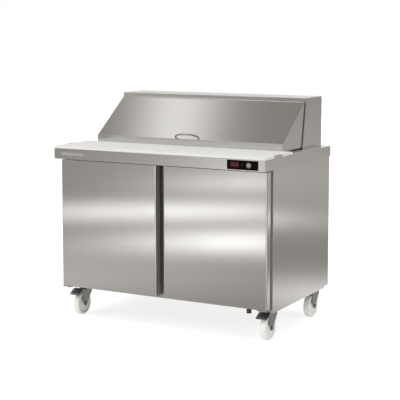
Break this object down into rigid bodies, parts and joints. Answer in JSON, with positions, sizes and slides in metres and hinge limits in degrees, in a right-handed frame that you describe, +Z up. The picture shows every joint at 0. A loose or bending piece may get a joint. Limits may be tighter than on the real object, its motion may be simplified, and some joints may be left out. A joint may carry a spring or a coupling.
{
  "type": "sandwich prep table",
  "caption": "Refrigerated sandwich prep table on casters, with hinged doors, a cutting board and a sloping lid over food pans.",
  "frame": {"origin": "centre of the footprint, on the floor under the wheels", "axes": "+X along the worktop to the right of someone facing the doors, +Y towards the back, +Z up"},
  "size_m": [1.219, 0.802, 1.173],
  "materials": {
    "stainless": "brushed stainless steel, fine straight grain",
    "stainless_inner": "plain stainless steel sheet",
    "zinc_steel": "bright zinc-plated or polished steel",
    "polyethylene": "white polyethylene, finely textured",
    "nylon": "off-white nylon",
    "dark_plastic": "dark grey moulded plastic",
    "gloss_black": "gloss black membrane",
    "button_grey": "pale warm grey",
    "gasket": "dark grey flexible seal",
    "foam": "rigid polyurethane foam",
    "fins": "plain fin stock",
    "black_paint": "black enamel"
  },
  "bodies": {
    "cabinet": {"side_panel_left": "stainless", "side_panel_right": "stainless", "rear_panel": "stainless_inner", "base_panel": "zinc_steel", "cabinet_insulation": "foam", "liner_tub": "stainless_inner", "liner_back": "stainless_inner", "face_frame": "stainless_inner", "worktop": "stainless", "pan_rack": "stainless_inner", "pan_1": "stainless_inner", "pan_2": "stainless_inner", "pan_3": "stainless_inner", "pan_4": "stainless_inner", "pan_5": "stainless_inner", "pan_6": "stainless_inner", "hood_shell": "stainless", "hood_liner": "stainless_inner", "lid_hinge": "zinc_steel", "controller_panel": "gloss_black", "nameplate": "stainless_inner", "drain_pipe": "dark_plastic", "cable_gland": "dark_plastic", "hinge_lower_left": "zinc_steel", "hinge_lower_right": "zinc_steel", "hinge_upper_left": "zinc_steel", "hinge_upper_right": "zinc_steel", "compressor": "black_paint", "condenser": "fins", "evaporator": "fins", "shelf_left": "zinc_steel", "shelf_right": "zinc_steel", "caster_front_left_plate": "zinc_steel", "caster_front_right_plate": "zinc_steel", "caster_rear_left_plate": "zinc_steel", "caster_rear_right_plate": "zinc_steel"},
    "door_left": {"door_left_skin": "stainless", "door_left_liner": "stainless_inner", "door_left_gasket": "gasket", "door_left_grip": "dark_plastic"},
    "door_right": {"door_right_skin": "stainless", "door_right_liner": "stainless_inner", "door_right_gasket": "gasket", "door_right_grip": "dark_plastic"},
    "lid": {"lid_shell": "stainless", "lid_handle": "zinc_steel"},
    "board": {"cutting_board": "polyethylene"},
    "button": {"power_button": "button_grey"},
    "condenser_fan": {"condenser_fan": "black_paint"},
    "evaporator_fan": {"evaporator_fan": "black_paint"},
    "swivel_front_left": {"caster_front_left_fork": "zinc_steel"},
    "wheel_front_left": {"caster_front_left_wheel": "nylon"},
    "swivel_front_right": {"caster_front_right_fork": "zinc_steel"},
    "wheel_front_right": {"caster_front_right_wheel": "nylon"},
    "swivel_rear_left": {"caster_rear_left_fork": "zinc_steel"},
    "wheel_rear_left": {"caster_rear_left_wheel": "nylon"},
    "swivel_rear_right": {"caster_rear_right_fork": "zinc_steel"},
    "wheel_rear_right": {"caster_rear_right_wheel": "nylon"},
    "pedal_front_left": {"pedal_front_left": "zinc_steel"},
    "pedal_front_right": {"pedal_front_right": "zinc_steel"}
  },
  "joints": [
    {"name": "door_left_hinge", "type": "hinge", "parent": "cabinet", "child": "door_left", "pos_m": [-0.584, -0.335, 0.512], "axis": [0, 0, -1], "range_deg": [0, 105]},
    {"name": "door_right_hinge", "type": "hinge", "parent": "cabinet", "child": "door_right", "pos_m": [0.584, -0.335, 0.512], "axis": [0, 0, 1], "range_deg": [0, 105]},
    {"name": "lid_hinge", "type": "hinge", "parent": "cabinet", "child": "lid", "pos_m": [0, 0.1895, 1.1505], "axis": [-1, 0, 0], "range_deg": [0, 130]},
    {"name": "board_lift", "type": "slide", "parent": "cabinet", "child": "board", "axis": [0, 0, 1], "range_m": [0, 0.03]},
    {"name": "button_press", "type": "slide", "parent": "cabinet", "child": "button", "axis": [0, 1, 0], "range_m": [0, 0.0015], "stiffness_N_per_m": 300},
    {"name": "condenser_fan_spin", "type": "hinge", "parent": "cabinet", "child": "condenser_fan", "pos_m": [-0.3, 0.317, 0.28], "axis": [0, 1, 0], "continuous": true},
    {"name": "evaporator_fan_spin", "type": "hinge", "parent": "cabinet", "child": "evaporator_fan", "pos_m": [0, 0.274, 0.556], "axis": [0, 1, 0], "continuous": true},
    {"name": "swivel_front_left", "type": "hinge", "parent": "cabinet", "child": "swivel_front_left", "pos_m": [-0.552, -0.207, 0.1458], "axis": [0, 0, 1], "continuous": true},
    {"name": "wheel_front_left", "type": "hinge", "parent": "swivel_front_left", "child": "wheel_front_left", "pos_m": [-0.552, -0.243, 0.0625], "axis": [1, 0, 0], "continuous": true},
    {"name": "swivel_front_right", "type": "hinge", "parent": "cabinet", "child": "swivel_front_right", "pos_m": [0.552, -0.207, 0.1458], "axis": [0, 0, 1], "continuous": true},
    {"name": "wheel_front_right", "type": "hinge", "parent": "swivel_front_right", "child": "wheel_front_right", "pos_m": [0.552, -0.243, 0.0625], "axis": [1, 0, 0], "continuous": true},
    {"name": "swivel_rear_left", "type": "hinge", "parent": "cabinet", "child": "swivel_rear_left", "pos_m": [-0.552, 0.325, 0.1458], "axis": [0, 0, 1], "continuous": true},
    {"name": "wheel_rear_left", "type": "hinge", "parent": "swivel_rear_left", "child": "wheel_rear_left", "pos_m": [-0.552, 0.289, 0.0625], "axis": [1, 0, 0], "continuous": true},
    {"name": "swivel_rear_right", "type": "hinge", "parent": "cabinet", "child": "swivel_rear_right", "pos_m": [0.552, 0.325, 0.1458], "axis": [0, 0, 1], "continuous": true},
    {"name": "wheel_rear_right", "type": "hinge", "parent": "swivel_rear_right", "child": "wheel_rear_right", "pos_m": [0.552, 0.289, 0.0625], "axis": [1, 0, 0], "continuous": true},
    {"name": "pedal_front_left", "type": "hinge", "parent": "swivel_front_left", "child": "pedal_front_left", "pos_m": [-0.552, -0.263, 0.1294], "axis": [1, 0, 0], "range_deg": [0, 10]},
    {"name": "pedal_front_right", "type": "hinge", "parent": "swivel_front_right", "child": "pedal_front_right", "pos_m": [0.552, -0.263, 0.1294], "axis": [1, 0, 0], "range_deg": [0, 10]}
  ]
}
